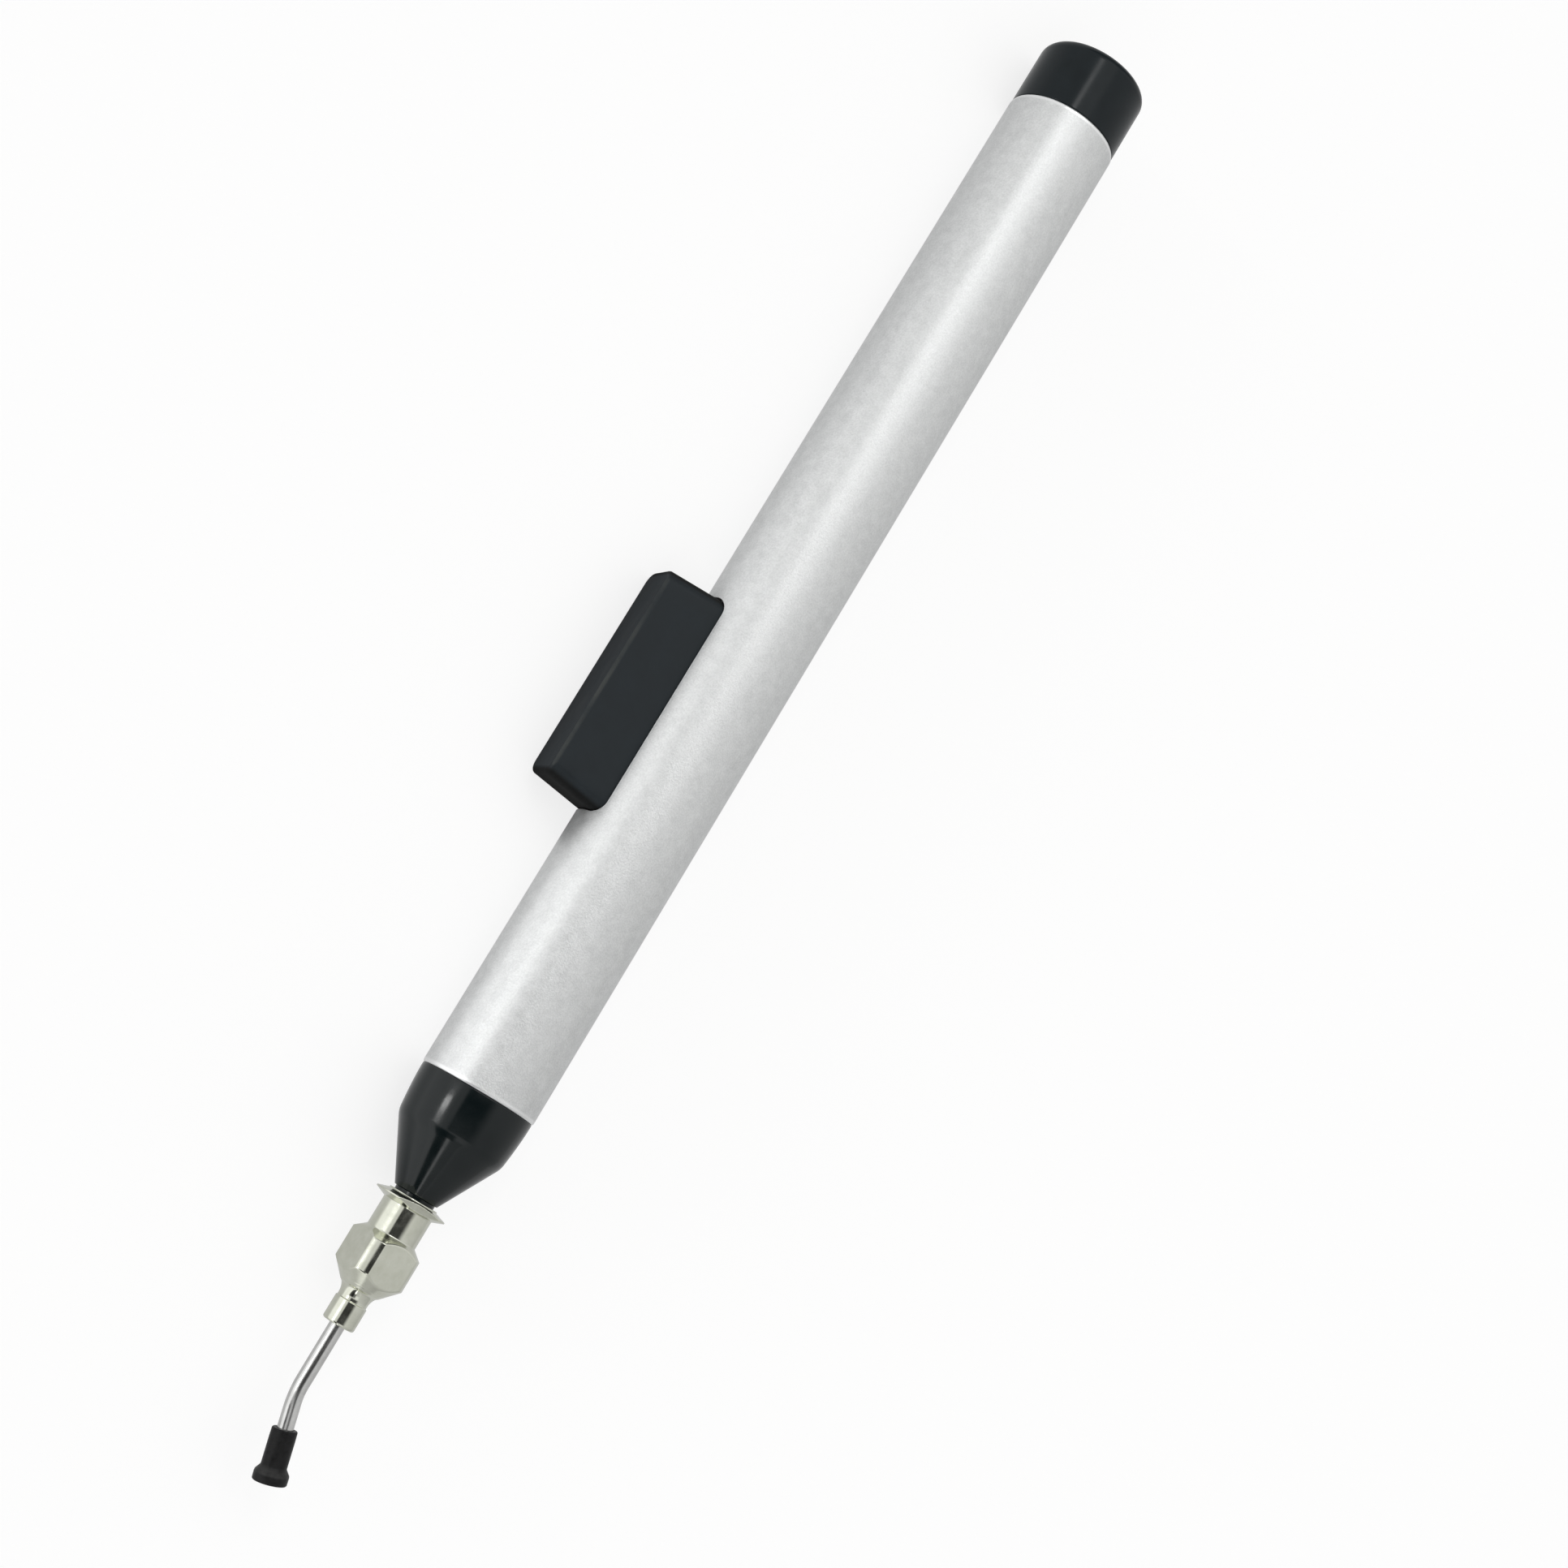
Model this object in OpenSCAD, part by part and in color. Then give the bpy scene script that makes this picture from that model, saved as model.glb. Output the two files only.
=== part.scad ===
// Vacuum pick-up pen with a squeeze bladder, a side button and a bent suction needle.
// Millimetres, +Z up. The pen lies on its barrel and on one long edge of the button:
// its axis runs along X, the rear cap is at +X and the button points towards +Y.

/* [Barrel] */
// Outside diameter of the barrel tube
barrel_d = 12.7; // [12.6:0.1:13.2]
// Bore of the barrel tube
bore_d = 11.1; // [11:0.05:11.3]
// Length of the barrel tube
barrel_l = 120.8; // [110:0.2:130]
// Edge break at both ends of the tube
barrel_edge = 0.25; // [0.1:0.05:0.35]
// Gap between the button and the slot, on each side
slot_gap = 0.15; // [0.1:0.05:0.3]

/* [End cap] */
// Length of the cap behind the barrel
cap_l = 7.9; // [6:0.1:10]
// Outside diameter of the cap
cap_d = 12.56; // [12.2:0.02:12.6]
// Rounding of the cap's rear edge
cap_round = 1.2; // [0.6:0.1:2]
// Length of the spigot inside the barrel
cap_spigot = 8; // [5:0.5:12]

/* [Nose cone] */
// Length of the collar next to the barrel
collar_l = 5.2; // [4:0.05:6]
// Diameter of the collar at the barrel
collar_d = 12.5; // [12.2:0.05:12.6]
// Diameter of the collar at the foot of the cone
collar_d2 = 11.74; // [11.4:0.02:12]
// Distance from the barrel to the end of the cone
cone_end = 11.6; // [11:0.1:13]
// Diameter at the end of the cone
cone_d = 4.8; // [4.6:0.1:5.4]
// Length of the taper tip
taper_l = 7.5; // [6.5:0.1:8]
// Diameter of the taper tip at its root
taper_d = 4.4; // [4.3:0.02:4.5]
// Bore of the air passage
air_d = 2; // [1.4:0.1:2.4]

/* [Button] */
// Length of the button along the barrel
button_l = 25.4; // [20:0.1:27]
// Width of the button
button_w = 6.4; // [5.6:0.1:6.6]
// Height of the button's top above the pen's axis
button_h = 12.2; // [10.5:0.1:12.5]
// Distance from the front of the barrel to the middle of the button
button_x = 42.4; // [38:0.1:46]
// Corner radius of the button, seen from above
button_r = 1.4; // [0.7:0.1:2]
// How far each end leans in from the barrel to the button's top
button_draft = 0.5; // [0:0.1:0.8]
// Rounding of the button's top edge
button_edge = 0.5; // [0.4:0.1:0.6]

/* [Bladder] */
// Outside diameter of the bladder
bladder_d = 8.9; // [8.4:0.1:8.9]
// Wall of the bladder
bladder_wall = 1.05; // [0.9:0.05:1.2]
// Distance from the front of the barrel to the front of the bladder
bladder_x = 9.2; // [9.1:0.1:10]
// Length of the bladder
bladder_l = 69; // [64:1:80]

/* [Needle] */
// Width of the hub across its square
square_w = 6.2; // [6:0.1:6.4]
// Diameter across the hub's turned corners
square_d = 7.5; // [7.2:0.1:7.8]
// Diameter across the two lock lugs
lug_d = 7.7; // [7.2:0.1:7.8]
// Turn of the hub's square from the plane of the bend
hub_turn = 16; // [0:1:45]
// Turn of the lugs' flat sides from the plane of the bend
lug_turn = 92; // [0:1:180]
// Outside diameter of the needle tube
tube_d = 1.65; // [1.5:0.05:1.8]
// Bore of the needle tube
tube_bore = 1.2; // [0.9:0.05:1.3]
// Angle of the bend in the tube
bend_a = 15.5; // [8:0.5:30]
// Radius of the bend, at the tube's axis
bend_r = 9; // [6:0.5:12]

/* [Suction cup] */
// Outside diameter of the cup's sleeve
sleeve_d = 2.6; // [2.4:0.05:2.9]
// Diameter of the cup's lip
lip_d = 3.5; // [3.3:0.05:4]
// Length of the cup
cup_l = 5.25; // [4.9:0.05:5.6]

/* [Hidden] */
$fn = 96;

barrel_r = barrel_d / 2;
bore_r = bore_d / 2;
// The button's lower edge touches the floor: its rounding's centre is one radius above it.
edge_z = button_h - button_edge;
edge_y = button_w / 2 - button_edge;
lean = asin((barrel_r - button_edge) / norm([edge_y, edge_z])) - atan2(edge_y, edge_z);

// Needle stations, counted forward from the barrel's front end.
hub_x = cone_end + 0.35;
bend_x = hub_x + 20.25;
tube_tail = 5.45;
bend_end = [bend_x + bend_r * sin(bend_a), -bend_r * (1 - cos(bend_a))];
cup_at = bend_end + 2.3 * [cos(bend_a), -sin(bend_a)];
lip_at = cup_at + cup_l * [cos(bend_a), -sin(bend_a)];
front_x = lip_at[0] + lip_d / 2 * sin(bend_a);

// The box of the whole pen is centred on the origin.
mid_x = (barrel_l + cap_l - front_x) / 2;
mid_y = (edge_z * cos(lean) + edge_y * sin(lean) + button_edge - barrel_r) / 2;

// The press plate lies between the bladder and the barrel.
plate_ri = bladder_d / 2 + 0.1;
plate_ro = bore_r - 0.2;
plate_l = button_l + 2.9;
plate_span = 96;
stake_r = 1;
stake_x = 7;
ring_w = 4;
nipple_r = bladder_d / 2 - bladder_wall;
plug_x = bladder_x + bladder_l;

// From the pen's own frame (axis X, button +Z, front of the barrel at zero) to the resting pen.
module lay() translate([-mid_x, -mid_y, barrel_r]) rotate([-(90 + lean), 0, 0]) children();

// A turned solid about X: each point is [radius, x].
module turned(p) rotate([0, 90, 0]) rotate_extrude() polygon(p);
// The same, for the parts that point forward: each point is [radius, distance in front of the barrel].
module turned_fwd(p) turned([for (q = p) [q[0], -q[1]]]);
module tube_x(ri, ro, x, l) turned([[ri, x], [ro, x], [ro, x + l], [ri, x + l]]);

// Points of an arc about c, from angle a to angle b.
function arc(c, r, a, b, n) = [for (i = [0:n]) c + r * [cos(a + (b - a) * i / n), sin(a + (b - a) * i / n)]];

// A rounded rectangle along X, made of plain squares and circles.
module slot_plan(l, w, r) {
    square([l - 2 * r, w], center = true);
    square([l, w - 2 * r], center = true);
    for (x = [-1, 1], y = [-1, 1]) translate([x * (l / 2 - r), y * (w / 2 - r)]) circle(r);
}

// Drawn aluminium tube, slotted through one wall for the button.
module barrel() color([0.80, 0.80, 0.81]) lay() difference() {
    turned([[bore_r, 0], [barrel_r - barrel_edge, 0], [barrel_r, barrel_edge],
            [barrel_r, barrel_l - barrel_edge], [barrel_r - barrel_edge, barrel_l], [bore_r, barrel_l]]);
    translate([button_x, 0, 1]) linear_extrude(barrel_r + 1)
        slot_plan(button_l + 2 * slot_gap, button_w + 2 * slot_gap, button_r + slot_gap);
}

// Hollow moulded plug with a rounded rear edge.
module end_cap() color([0.07, 0.07, 0.075]) lay() {
    e = barrel_l + cap_l;
    r = cap_d / 2;
    turned(concat([[4.35, barrel_l - cap_spigot], [bore_r - 0.3, barrel_l - cap_spigot],
                   [bore_r, barrel_l - cap_spigot + 0.5], [bore_r, barrel_l], [r - 0.12, barrel_l], [r, barrel_l + 0.12]],
                  arc([r - cap_round, e - cap_round], cap_round, 0, 90, 6),
                  [[0, e], [0, e - 1.6], [4.1, e - 1.6], [4.35, e - 2]]));
}

// Cone with a spigot for the barrel, a taper tip in front and a barbed nipple behind.
module nose_cone() color([0.06, 0.065, 0.07]) lay() {
    tip = cone_end + taper_l;
    tr = taper_d / 2 - 0.03 * taper_l;
    turned_fwd(concat(
        [[air_d / 2, tip], [tr - 0.15, tip], [tr + 0.006, tip - 0.2], [taper_d / 2, cone_end], [cone_d / 2 - 0.12, cone_end], [cone_d / 2, cone_end - 0.12]],
        [[collar_d2 / 2 - 0.166, collar_l + 0.3], [collar_d2 / 2 - 0.055, collar_l + 0.1], [collar_d2 / 2 + 0.005, collar_l - 0.1]],
        [[collar_d / 2, 0.1], [collar_d / 2 - 0.1, 0], [bore_r, 0], [bore_r, -8.5], [bore_r - 0.3, -9], [4.75, -9], [4.75, 2], [3.6, 2], [3.6, -9], [2.9, -9]],
        [for (i = [0:2]) each [[2.9, -10.4 - 2.7 * i], [nipple_r, -10.4 - 2.7 * i], [nipple_r, -10.8 - 2.7 * i], [2.9, -12.8 - 2.7 * i]]],
        [[2.6, -18.8], [air_d / 2, -18.8]]));
}

// Hollow press button with rounded corners, its ends leaning in towards the top. Two stakes under it hold the press plate.
module button() color([0.16, 0.17, 0.18]) lay() {
    difference() {
        hull() for (x = [-1, 1], y = [-1, 1])
            translate([button_x + x * (button_l / 2 - button_r), y * (button_w / 2 - button_r), 0]) {
                translate([0, 0, 3]) cylinder(h = 3, r = button_r, $fn = 48);
                translate([-x * button_draft, 0, button_h - button_edge]) rotate_extrude($fn = 48) intersection() {
                    translate([button_r - button_edge, 0]) circle(button_edge, $fn = 32);
                    translate([0, -button_edge]) square(2 * button_r);
                }
            }
        translate([button_x - button_l / 2 + 1.3, -button_w / 2 + 1.2, 0])
            cube([button_l - 2.6, button_w - 2.4, button_h - 1.4]);
        translate([button_x - button_l, 0, 0]) rotate([0, 90, 0]) cylinder(h = 2 * button_l, r = plate_ro);
    }
    for (x = [-stake_x, stake_x]) translate([button_x + x, 0, plate_ri + 0.1])
        cylinder(h = button_h - 1.2 - plate_ri, r = stake_r - 0.02);
}

// Curved plate inside the barrel, wider and longer than the slot.
module press_plate() color([0.85, 0.84, 0.80]) lay() difference() {
    rotate([0, 90, 0]) rotate([0, 0, 180 - plate_span / 2]) rotate_extrude(angle = plate_span)
        translate([plate_ri, button_x - plate_l / 2]) square([plate_ro - plate_ri, plate_l]);
    for (x = [-stake_x, stake_x]) translate([button_x + x, 0, 0]) cylinder(h = 8, r = stake_r);
}

// Soft squeeze tube.
module bladder() color([0.78, 0.76, 0.72]) lay()
    tube_x(nipple_r, bladder_d / 2, bladder_x, bladder_l);

// Barbed plug that closes the bladder's rear end.
module bladder_plug() color([0.08, 0.08, 0.085]) lay()
    turned(concat([[0, plug_x - 9.6], [2.6, plug_x - 9.6]],
                  [for (i = [0:2]) each [[2.9, plug_x - 9 + 2.7 * i], [nipple_r, plug_x - 7 + 2.7 * i], [nipple_r, plug_x - 6.6 + 2.7 * i], [2.9, plug_x - 6.6 + 2.7 * i]]],
                  [[2.9, plug_x], [bladder_d / 2, plug_x], [bladder_d / 2, plug_x + 1.6], [bladder_d / 2 - 0.4, plug_x + 2], [0, plug_x + 2]]));

// Plain ring around an end of the bladder.
module clamp_ring(x) color([0.55, 0.56, 0.58]) lay()
    turned([[bladder_d / 2, x], [bladder_d / 2 + 0.55, x], [bladder_d / 2 + 0.7, x + 0.15], [bladder_d / 2 + 0.7, x + ring_w - 0.15],
            [bladder_d / 2 + 0.55, x + ring_w], [bladder_d / 2, x + ring_w]]);
module front_ring() clamp_ring(bladder_x + 2.2);
module rear_ring() clamp_ring(plug_x - 6.2);

// Turned hub: taper socket, lock flange with two lugs, square with turned corners, neck and collar.
module needle_hub() color([0.74, 0.73, 0.69]) lay() {
    h = hub_x;
    cr = 2.68;
    sr = square_d / 2;
    sock = taper_d / 2 + 0.04 - 0.03 * 0.35;
    difference() {
        union() {
            turned_fwd(concat([[0, h], [cr - 0.1, h], [cr, h + 0.1], [cr, h + 6], [2.55, h + 6.2], [2.55, h + 9.4]],
                              [for (a = [58:-14.5:0]) [1.6 + 1.75 * (1 - cos(a)), h + 11.2 - 1.75 * sin(a)]],
                              [[1.6, h + 11.4], [1.72, h + 11.52], [1.72, h + 13.65]],
                              arc([1.42, h + 13.7], 0.3, 10, 90, 3), [[0, h + 14]]));
            // Square with its corners turned to a cylinder and chamfered at both ends.
            rotate([hub_turn, 0, 0]) intersection() {
                turned_fwd([[0, h + 3.75], [sr - 1.6, h + 3.75], [sr, h + 5.05], [sr, h + 8.35], [sr - 1.6, h + 10.03], [0, h + 10.03]]);
                translate([-h - 12, -square_w / 2, -square_w / 2]) cube([10, square_w, square_w]);
            }
            // Lock flange, thinned towards the rim and cut to two lugs.
            rotate([lug_turn, 0, 0]) intersection() {
                turned_fwd([[0, h - 0.02], [cr - 0.5, h - 0.02], [lug_d / 2 - 0.05, h + 0.5], [lug_d / 2, h + 0.55], [lug_d / 2, h + 0.65], [cr - 0.5, h + 1.32], [0, h + 1.32]]);
                translate([-h - 4, -lug_d, -3.02]) cube([3.95, 2 * lug_d, 6.04]);
            }
        }
        turned_fwd([[0, h - 0.3], [sock + 0.5, h - 0.3], [sock - 0.006, h + 0.2], [sock - 0.03 * 7.55, h + 7.55], [0, h + 7.55]]);
        turned_fwd([[0, h + 7], [tube_d / 2, h + 7], [tube_d / 2, h + 15], [0, h + 15]]);
    }
}

// Straight stretch of tube along X from the origin.
module tube_run(l, r) rotate([0, -90, 0]) cylinder(h = l, r = r, $fn = 48);
// The tube's route: straight from the hub, one bend away from the button, straight into the cup.
// The straight stretches reach a little way into the bend.
module tube_path(straight_r, curve_r, over) {
    start = hub_x + 7.65;
    lap = 0.12;
    translate([-start + over, 0, 0]) tube_run(bend_x - start + over + lap, straight_r);
    translate([-bend_x, 0, -bend_r]) {
        rotate([0, -90, 0]) rotate([90, 0, 0]) rotate_extrude(angle = bend_a) translate([bend_r, 0]) circle(curve_r, $fn = 48);
        rotate([0, -bend_a, 0]) translate([lap, 0, bend_r]) tube_run(tube_tail + over + lap, straight_r);
    }
}
module needle_tube() color([0.70, 0.70, 0.70]) lay() difference() {
    tube_path(tube_d / 2 - 0.004, tube_d / 2, 0);
    tube_path(tube_bore / 2, tube_bore / 2 - 0.004, 0.5);
}

// Soft cup: a sleeve over the tube, a waist and a flared lip with a hollow face.
module suction_cup() color([0.07, 0.07, 0.07]) lay()
    translate([-cup_at[0], 0, cup_at[1]]) rotate([0, -bend_a, 0]) {
        s = sleeve_d / 2;
        l = lip_d / 2;
        t = tube_d / 2;
        turned_fwd([[t, 0], [s - 0.12, 0], [s, 0.12], [s, cup_l - 1.7], [s + 0.04, cup_l - 1.52],
                    [l - 0.12, cup_l - 1.06], [l - 0.02, cup_l - 0.92], [l, cup_l - 0.78], [l - 0.02, cup_l - 0.12], [l - 0.1, cup_l],
                    [l - 0.36, cup_l], [0.75, cup_l - 1.0], [0.55, cup_l - 1.3], [0.55, tube_tail - 2.3], [t, tube_tail - 2.3]]);
    }

barrel();
end_cap();
nose_cone();
button();
press_plate();
bladder();
bladder_plug();
front_ring();
rear_ring();
needle_hub();
needle_tube();
suction_cup();
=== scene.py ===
"""Looks of a vacuum pick-up pen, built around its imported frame.

Lengths here are millimetres in the pen's own frame: the axis is X, the rear cap is at +X, the button points to +Z and
the front end of the barrel is at zero. place() takes them to the row frame, in metres.
"""

import math

import bmesh
import bpy
import numpy as np
from mathutils import Matrix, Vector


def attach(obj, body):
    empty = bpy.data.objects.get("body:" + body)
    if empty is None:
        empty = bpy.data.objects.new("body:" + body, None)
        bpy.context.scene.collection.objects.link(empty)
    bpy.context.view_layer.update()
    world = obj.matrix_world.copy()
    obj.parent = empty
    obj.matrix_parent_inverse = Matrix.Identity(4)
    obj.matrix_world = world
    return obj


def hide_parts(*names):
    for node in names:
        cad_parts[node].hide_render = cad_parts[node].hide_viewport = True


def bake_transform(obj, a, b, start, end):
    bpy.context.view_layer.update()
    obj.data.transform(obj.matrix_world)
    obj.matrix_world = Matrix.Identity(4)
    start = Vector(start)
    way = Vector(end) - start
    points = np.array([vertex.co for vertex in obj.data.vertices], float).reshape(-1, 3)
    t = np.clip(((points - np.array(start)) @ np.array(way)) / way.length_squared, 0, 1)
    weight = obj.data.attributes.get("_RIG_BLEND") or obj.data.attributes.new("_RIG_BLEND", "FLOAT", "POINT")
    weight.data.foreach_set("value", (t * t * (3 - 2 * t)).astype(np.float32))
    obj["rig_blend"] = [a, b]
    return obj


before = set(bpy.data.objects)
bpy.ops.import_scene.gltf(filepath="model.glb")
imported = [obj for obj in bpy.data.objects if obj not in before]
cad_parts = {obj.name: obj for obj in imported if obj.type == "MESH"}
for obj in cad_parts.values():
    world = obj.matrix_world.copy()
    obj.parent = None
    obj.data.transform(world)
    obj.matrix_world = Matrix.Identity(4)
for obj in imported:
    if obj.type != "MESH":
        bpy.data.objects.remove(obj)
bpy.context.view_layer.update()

# ---------------------------------------------------------------- the pen's own sizes

BARREL_R, BORE_R, BARREL_L = 6.35, 5.55, 120.8
CAP_R, CAP_END = 6.28, 128.7
BUTTON_A, BUTTON_B, BUTTON_H, BUTTON_X = 12.7, 3.2, 12.2, 42.4
BUTTON_CORNER, BUTTON_EDGE, BUTTON_DRAFT = 1.4, 0.5, 0.5
CONE_END, HUB = 11.6, 11.95
TUBE_R, TUBE_BORE = 0.825, 0.6
BEND_X, BEND_A, BEND_R, TAIL = 32.2, math.radians(15.5), 9.0, 5.45
HUB_TURN, LUG_TURN = math.radians(16), math.radians(92)
CUP_L, LIP_R = 5.25, 1.75

edge_y, edge_z = BUTTON_B - BUTTON_EDGE, BUTTON_H - BUTTON_EDGE
LEAN = math.asin((BARREL_R - BUTTON_EDGE) / math.hypot(edge_y, edge_z)) - math.atan2(edge_y, edge_z)
AHEAD = np.array([math.cos(BEND_A), -math.sin(BEND_A)])
bend_end = np.array([BEND_X + BEND_R * math.sin(BEND_A), -BEND_R * (1 - math.cos(BEND_A))])
cup_at = bend_end + 2.3 * AHEAD
front_x = (cup_at + CUP_L * AHEAD)[0] + LIP_R * math.sin(BEND_A)
MID_X = (CAP_END - front_x) / 2
MID_Y = (edge_z * math.cos(LEAN) + edge_y * math.sin(LEAN) + BUTTON_EDGE - BARREL_R) / 2
SL, CL = math.sin(LEAN), math.cos(LEAN)
PRESS = np.array([0.0, -CL, SL])


def place(v):
    """Pen-frame millimetres to row-frame metres."""
    v = np.asarray(v, float).reshape(-1, 3)
    x, y, z = v[:, 0], v[:, 1], v[:, 2]
    return np.stack([x - MID_X, -y * SL + z * CL - MID_Y, -y * CL - z * SL + BARREL_R], 1) / 1000


# ---------------------------------------------------------------- mesh helpers


class Build:
    """Vertices and faces of one piece, in the pen's frame."""

    def __init__(self):
        self.v, self.f = [], []

    def add(self, points):
        first = len(self.v)
        self.v.extend([tuple(p) for p in points])
        return list(range(first, len(self.v)))

    def band(self, a, b, wrap=True):
        """Quads between two rows of the same length."""
        n = len(a)
        for i in range(n if wrap else n - 1):
            j = (i + 1) % n
            self.f.append((a[i], a[j], b[j], b[i]))

    def fan(self, row, pole):
        for i in range(len(row)):
            self.f.append((row[i], row[(i + 1) % len(row)], pole))


def finish_piece(build, name, node, body, material, sharp=38.0, to_row=place):
    me = bpy.data.meshes.new(name)
    me.from_pydata(to_row(build.v).tolist(), [], build.f)
    bm = bmesh.new()
    bm.from_mesh(me)
    bmesh.ops.recalc_face_normals(bm, faces=bm.faces)
    bm.to_mesh(me)
    bm.free()
    me.shade_smooth()
    me.set_sharp_from_angle(angle=math.radians(sharp))
    me.materials.append(material)
    o = bpy.data.objects.new(name, me)
    bpy.context.scene.collection.objects.link(o)
    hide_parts(node)
    if body:
        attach(o, body)
    return o


def rounded(points, closed=False, seg=5, lead=0.05):
    """A profile with its corners rounded: each point is (x, r) or (x, r, radius). A short flat lead beside each arc keeps the
    shading of the straight stretches true."""
    n, out = len(points), []
    for i, p in enumerate(points):
        c = np.array(p[:2], float)
        f = p[2] if len(p) > 2 else 0.0
        if f <= 0 or (not closed and i in (0, n - 1)):
            out.append(c)
            continue
        a, b = np.array(points[i - 1][:2], float) - c, np.array(points[(i + 1) % n][:2], float) - c
        la, lb = np.linalg.norm(a), np.linalg.norm(b)
        a, b = a / la, b / lb
        half = math.acos(max(-1, min(1, float(a @ b)))) / 2
        t = f / math.tan(half)
        t = min(t, 0.48 * la, 0.48 * lb)
        f = t * math.tan(half)
        mid = (a + b) / np.linalg.norm(a + b)
        centre = c + mid * f / math.sin(half)
        s, e = c + a * t - centre, c + b * t - centre
        if la - t > 2.2 * lead:
            out.append(c + a * (t + lead))
        sweep = math.pi - 2 * half
        for k in range(seg + 1):
            u = k / seg
            out.append(centre + (math.sin((1 - u) * sweep) * s + math.sin(u * sweep) * e) / math.sin(sweep))
        if lb - t > 2.2 * lead:
            out.append(c + b * (t + lead))
    return out


def ring(x, r, n):
    a = np.arange(n) * 2 * math.pi / n
    return np.stack([np.full(n, x), r * np.sin(a), r * np.cos(a)], 1)


def lathe(build, profile, n, closed=False):
    """Turns a profile of (x, r) about the axis."""
    rows = [build.add(ring(x, r, n)) if r > 1e-6 else build.add([(x, 0, 0)]) for x, r in profile]
    pairs = list(zip(rows, rows[1:])) + ([(rows[-1], rows[0])] if closed else [])
    for a, b in pairs:
        if len(a) == 1:
            build.fan(b, a[0])
        elif len(b) == 1:
            build.fan(a, b[0])
        else:
            build.band(a, b)


def split_long(profile, step):
    """More points on the long straight stretches."""
    out = [np.array(profile[0], float)]
    for p in profile[1:]:
        p = np.array(p, float)
        k = max(1, int(np.linalg.norm(p - out[-1]) / step))
        q = out[-1]
        out += [q + (p - q) * (i + 1) / k for i in range(k)]
    return out


# ---------------------------------------------------------------- materials


def new_material(name):
    m = bpy.data.materials.new(name)
    m.use_nodes = True
    nt = m.node_tree
    return m, nt, nt.nodes["Principled BSDF"]


def node(nt, kind, **values):
    n = nt.nodes.new(kind)
    for k, v in values.items():
        if hasattr(n, k):
            setattr(n, k, v)
        else:
            n.inputs[k.replace("_", " ")].default_value = v
    return n


def coords(nt, scale=(1, 1, 1)):
    tc = nt.nodes.new("ShaderNodeTexCoord")
    mp = nt.nodes.new("ShaderNodeMapping")
    mp.inputs["Scale"].default_value = scale
    nt.links.new(tc.outputs["Object"], mp.inputs["Vector"])
    return mp.outputs["Vector"]


def noise(nt, vec, scale, detail=2.0, rough=0.5):
    n = nt.nodes.new("ShaderNodeTexNoise")
    n.inputs["Scale"].default_value = scale
    n.inputs["Detail"].default_value = detail
    n.inputs["Roughness"].default_value = rough
    nt.links.new(vec, n.inputs["Vector"])
    return n.outputs["Fac"]


def span(nt, value, lo, hi, a=0.3, b=0.7, smooth=False):
    """A texture's value taken from a..b to lo..hi."""
    n = nt.nodes.new("ShaderNodeMapRange")
    if smooth:
        n.interpolation_type = "SMOOTHSTEP"
    n.inputs["From Min"].default_value, n.inputs["From Max"].default_value = a, b
    n.inputs["To Min"].default_value, n.inputs["To Max"].default_value = lo, hi
    nt.links.new(value, n.inputs["Value"])
    return n.outputs["Result"]


def tint(nt, value, dark, light, a=0.3, b=0.7):
    n = nt.nodes.new("ShaderNodeValToRGB")
    n.color_ramp.elements[0].position, n.color_ramp.elements[1].position = a, b
    n.color_ramp.elements[0].color, n.color_ramp.elements[1].color = (*dark, 1), (*light, 1)
    nt.links.new(value, n.inputs["Fac"])
    return n.outputs["Color"]


def bump(nt, height, strength, distance, under=None):
    n = nt.nodes.new("ShaderNodeBump")
    n.inputs["Strength"].default_value = strength
    n.inputs["Distance"].default_value = distance
    nt.links.new(height, n.inputs["Height"])
    if under is not None:
        nt.links.new(under, n.inputs["Normal"])
    return n.outputs["Normal"]


def math_node(nt, op, a, b=None):
    n = nt.nodes.new("ShaderNodeMath")
    n.operation = op
    for i, v in enumerate([a, b]):
        if v is None:
            continue
        if isinstance(v, (int, float)):
            n.inputs[i].default_value = v
        else:
            nt.links.new(v, n.inputs[i])
    return n.outputs[0]


def blasted_aluminium():
    m, nt, b = new_material("satin_anodised_aluminium")
    v = coords(nt)
    fine = noise(nt, v, 5200, 2.0, 0.6)
    cloud = noise(nt, v, 900, 3.0, 0.6)
    xyz = nt.nodes.new("ShaderNodeSeparateXYZ")
    nt.links.new(v, xyz.inputs[0])
    middle = (BARREL_L / 2 - MID_X) / 1000
    from_mid = math_node(nt, "ABSOLUTE", math_node(nt, "SUBTRACT", xyz.outputs["X"], middle))
    rim = span(nt, from_mid, 0.0, 1.0, BARREL_L / 2000 - 0.00058, BARREL_L / 2000 - 0.00034, True)
    grain = math_node(nt, "ADD", math_node(nt, "MULTIPLY", fine, 0.55), math_node(nt, "MULTIPLY", cloud, 0.45))
    body = tint(nt, grain, (0.685, 0.695, 0.695), (0.845, 0.855, 0.855), 0.34, 0.66)
    mix = nt.nodes.new("ShaderNodeMix")
    mix.data_type = "RGBA"
    nt.links.new(rim, mix.inputs["Factor"])
    nt.links.new(body, mix.inputs[6])
    mix.inputs[7].default_value = (0.93, 0.94, 0.94, 1)
    nt.links.new(mix.outputs[2], b.inputs["Base Color"])
    b.inputs["Metallic"].default_value = 1.0
    base_rough = span(nt, cloud, 0.40, 0.48)
    nt.links.new(math_node(nt, "SUBTRACT", base_rough, math_node(nt, "MULTIPLY", rim, 0.12)), b.inputs["Roughness"])
    nt.links.new(bump(nt, fine, 0.32, 0.00006), b.inputs["Normal"])
    return m


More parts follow.
